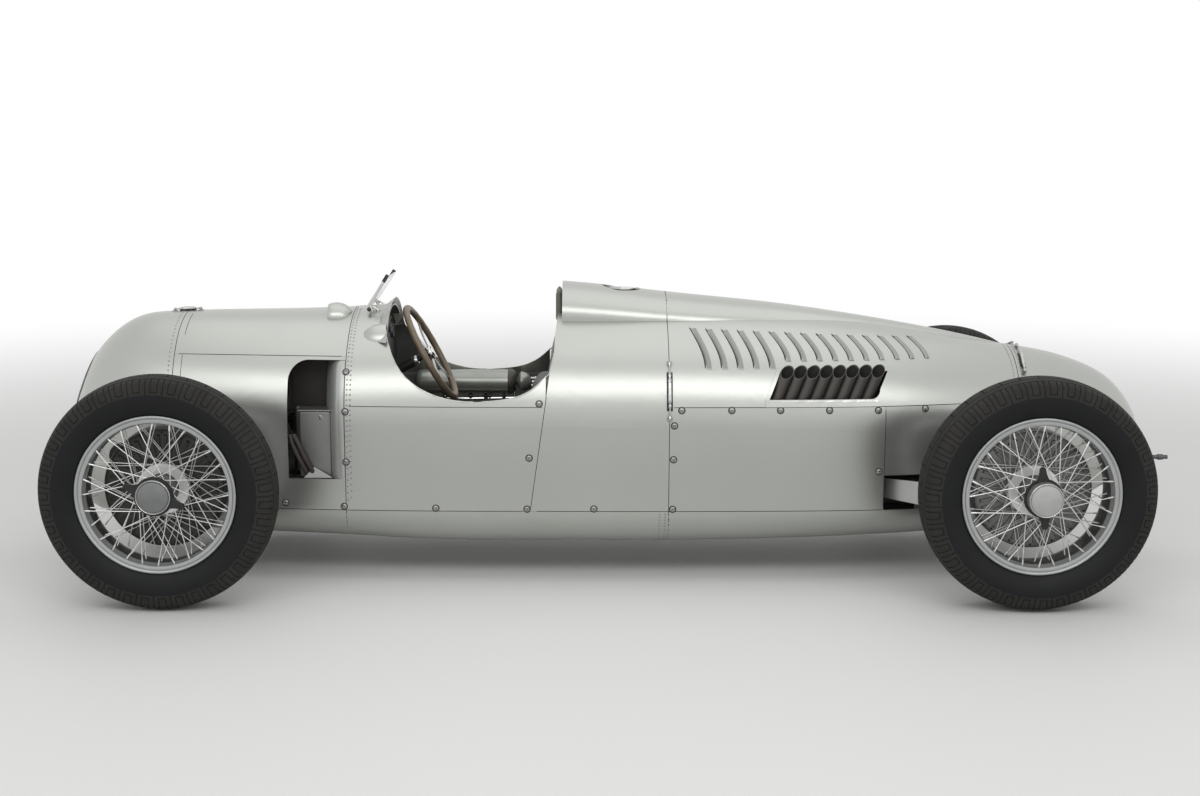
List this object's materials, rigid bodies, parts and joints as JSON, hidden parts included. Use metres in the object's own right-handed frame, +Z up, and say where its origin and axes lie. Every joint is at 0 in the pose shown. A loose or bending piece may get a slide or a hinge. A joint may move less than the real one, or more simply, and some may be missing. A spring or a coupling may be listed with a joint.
{
  "type": "open wheel racing car",
  "caption": "Mid-engined open wheel racing car of the mid nineteen-thirties with a silver panelled body, open cockpit, side exhaust stubs and wire wheels.",
  "frame": {"origin": "on the ground under the middle of the overall length, on the centre line", "axes": "+Z up, -X towards the nose, -Y towards the car's left side"},
  "size_m": [4.062, 1.6712, 1.0601],
  "materials": {
    "silver_paint": "satin",
    "grey_metal": "satin",
    "bare_aluminium": "brushed",
    "polished_metal": "polished",
    "dark_metal": "matte",
    "radiator_core": "matte",
    "leather": "matte",
    "clear_glass": "gloss",
    "rim_wood": "satin",
    "tyre_rubber": "matte",
    "wheel_silver": "satin",
    "nut_metal": "satin",
    "drum_iron": "satin"
  },
  "bodies": {
    "chassis": {"belly_pan_front": "silver_paint", "belly_pan_rear": "silver_paint", "bonnet_sides": "silver_paint", "bonnet_top": "silver_paint", "cockpit_cowl": "silver_paint", "cockpit_floor": "grey_metal", "cockpit_sides": "silver_paint", "dashboard": "bare_aluminium", "engine_block": "bare_aluminium", "engine_cover": "silver_paint", "engine_sides": "silver_paint", "exhaust_stubs": "dark_metal", "filler_neck": "bare_aluminium", "frame_tubes": "grey_metal", "front_axle": "grey_metal", "head_pad": "leather", "nose_cowl": "silver_paint", "nose_grille": "dark_metal", "radiator": "radiator_core", "radius_arms": "grey_metal", "rear_axle": "grey_metal", "rear_sides": "silver_paint", "seat_back": "leather", "seat_bulkhead": "grey_metal", "seat_cushion": "leather", "side_tank": "bare_aluminium", "starter_shaft": "dark_metal", "steering_column": "grey_metal", "tail_cone": "silver_paint", "tank_cover": "silver_paint", "vent_ducts": "bare_aluminium", "windscreen_frame": "polished_metal", "windscreen_glass": "clear_glass"},
    "knuckle_left": {"knuckle_left": "grey_metal"},
    "knuckle_right": {"knuckle_right": "grey_metal"},
    "track_rod": {"track_rod": "grey_metal"},
    "steering_wheel": {"steering_wheel": "rim_wood"},
    "filler_cap": {"filler_cap": "polished_metal"},
    "wheel_front_left": {"tyre_front_left": "tyre_rubber", "wire_wheel_front_left": "wheel_silver", "hub_nut_front_left": "nut_metal", "brake_drum_front_left": "drum_iron"},
    "wheel_front_right": {"tyre_front_right": "tyre_rubber", "wire_wheel_front_right": "wheel_silver", "hub_nut_front_right": "nut_metal", "brake_drum_front_right": "drum_iron"},
    "wheel_rear_left": {"tyre_rear_left": "tyre_rubber", "wire_wheel_rear_left": "wheel_silver", "hub_nut_rear_left": "nut_metal", "brake_drum_rear_left": "drum_iron"},
    "wheel_rear_right": {"tyre_rear_right": "tyre_rubber", "wire_wheel_rear_right": "wheel_silver", "hub_nut_rear_right": "nut_metal", "brake_drum_rear_right": "drum_iron"}
  },
  "joints": [
    {"name": "steer_left", "type": "hinge", "parent": "chassis", "child": "knuckle_left", "pos_m": [-1.5575, -0.546, 0.392], "axis": [0, 0, 1], "range_deg": [-22, 22]},
    {"name": "steer_right", "type": "hinge", "parent": "chassis", "child": "knuckle_right", "pos_m": [-1.5575, 0.546, 0.392], "axis": [0, 0, 1], "range_deg": [-22, 22]},
    {"name": "track_rod_swing", "type": "hinge", "parent": "knuckle_left", "child": "track_rod", "pos_m": [-1.4175, -0.546, 0.442], "axis": [0, 0, 1], "range_deg": [-22, 22]},
    {"name": "steering_wheel_turn", "type": "hinge", "parent": "chassis", "child": "steering_wheel", "pos_m": [-0.7245, 0, 0.762], "axis": [0.8813, 0, 0.4726], "range_deg": [-264, 264]},
    {"name": "filler_cap_hinge", "type": "hinge", "parent": "chassis", "child": "filler_cap", "pos_m": [0.0375, 0, 1], "axis": [0, 1, 0], "range_deg": [0, 100]},
    {"name": "wheel_spin_front_left", "type": "hinge", "parent": "knuckle_left", "child": "wheel_front_left", "pos_m": [-1.5575, -0.71, 0.392], "axis": [0, 1, 0], "continuous": true},
    {"name": "wheel_spin_front_right", "type": "hinge", "parent": "knuckle_right", "child": "wheel_front_right", "pos_m": [-1.5575, 0.71, 0.392], "axis": [0, 1, 0], "continuous": true},
    {"name": "wheel_spin_rear_left", "type": "hinge", "parent": "chassis", "child": "wheel_rear_left", "pos_m": [1.3425, -0.71, 0.392], "axis": [0, 1, 0], "continuous": true},
    {"name": "wheel_spin_rear_right", "type": "hinge", "parent": "chassis", "child": "wheel_rear_right", "pos_m": [1.3425, 0.71, 0.392], "axis": [0, 1, 0], "continuous": true}
  ],
  "couplings": [
    {"joint": "steer_right", "follows": "steer_left", "ratio": 1},
    {"joint": "track_rod_swing", "follows": "steer_left", "ratio": -1},
    {"joint": "steering_wheel_turn", "follows": "steer_left", "ratio": 12}
  ]
}
